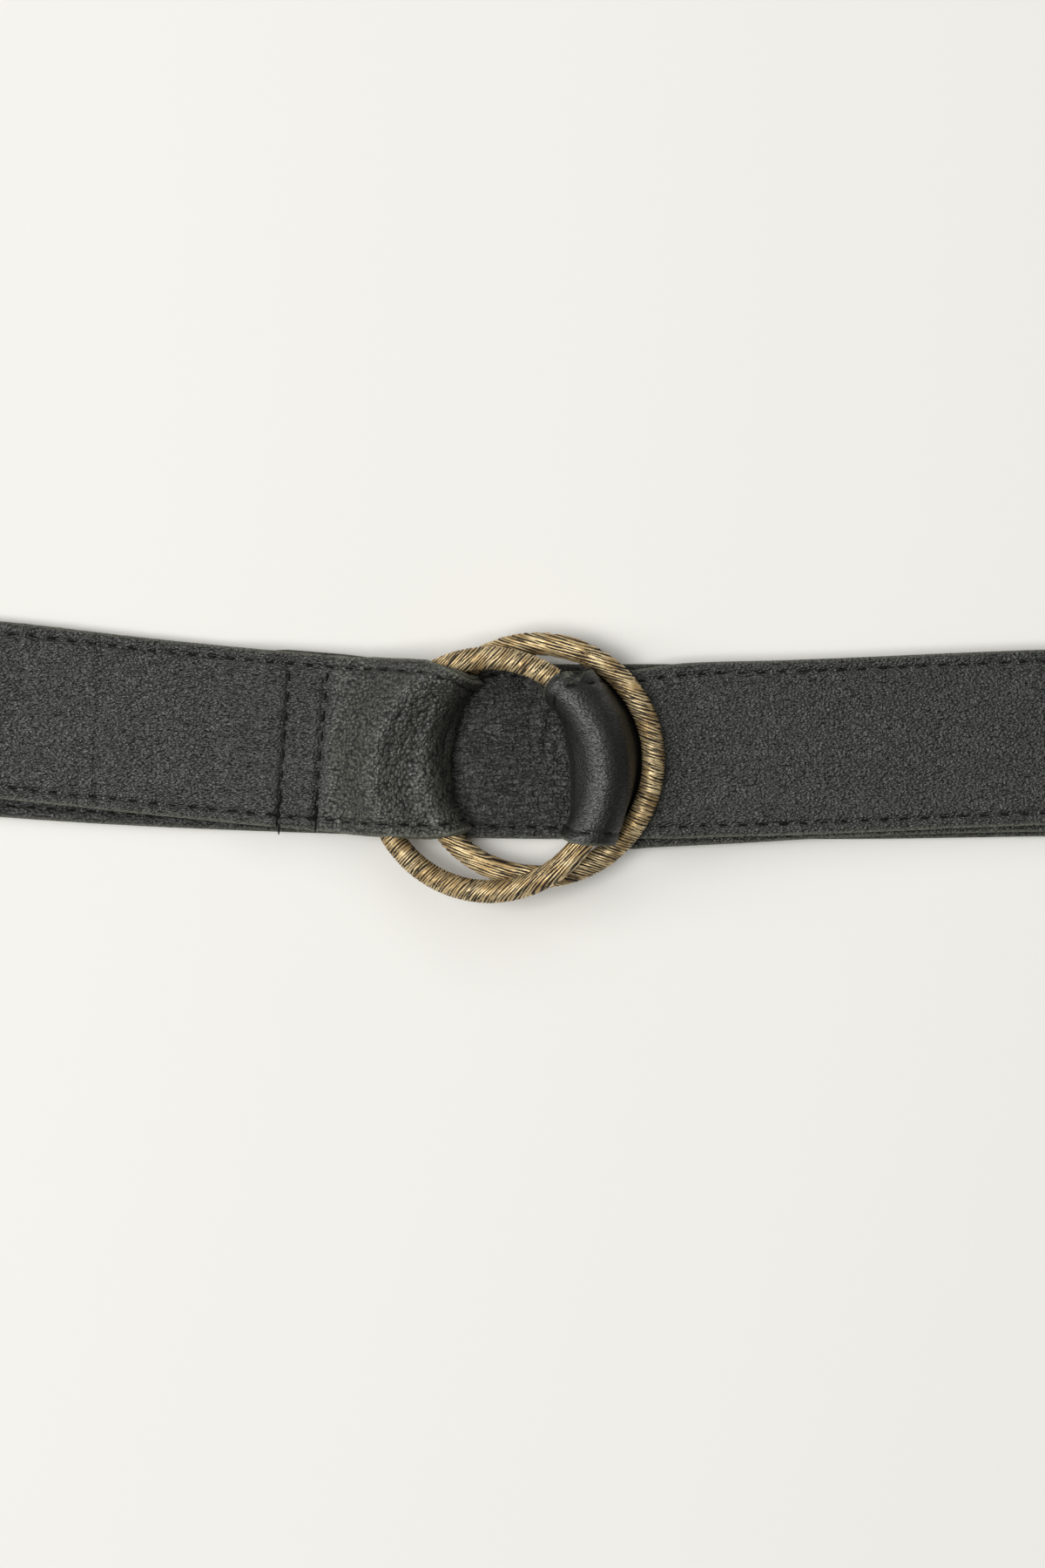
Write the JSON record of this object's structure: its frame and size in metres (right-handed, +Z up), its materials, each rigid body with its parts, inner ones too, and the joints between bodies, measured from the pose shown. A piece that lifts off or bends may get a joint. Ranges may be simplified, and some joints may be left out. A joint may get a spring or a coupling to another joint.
{
  "type": "double ring belt",
  "caption": "Leather belt fastened by two round rings, lying flat; the free end is threaded through both rings and back.",
  "frame": {"origin": "middle of the bounding box on the floor that the belt lies on", "axes": "+X along the strap towards the free end's side, +Y across the strap, +Z up"},
  "size_m": [0.4148, 0.0666, 0.0244],
  "materials": {
    "face_leather": "pebbled grain, satin",
    "lining_leather": "fine grain, satin",
    "ring_brass": "antiqued, engraved with dark grooves"
  },
  "bodies": {
    "root": {"strap_face": "face_leather", "strap_lining": "lining_leather", "ring_front": "ring_brass", "ring_back": "ring_brass"}
  },
  "joints": []
}
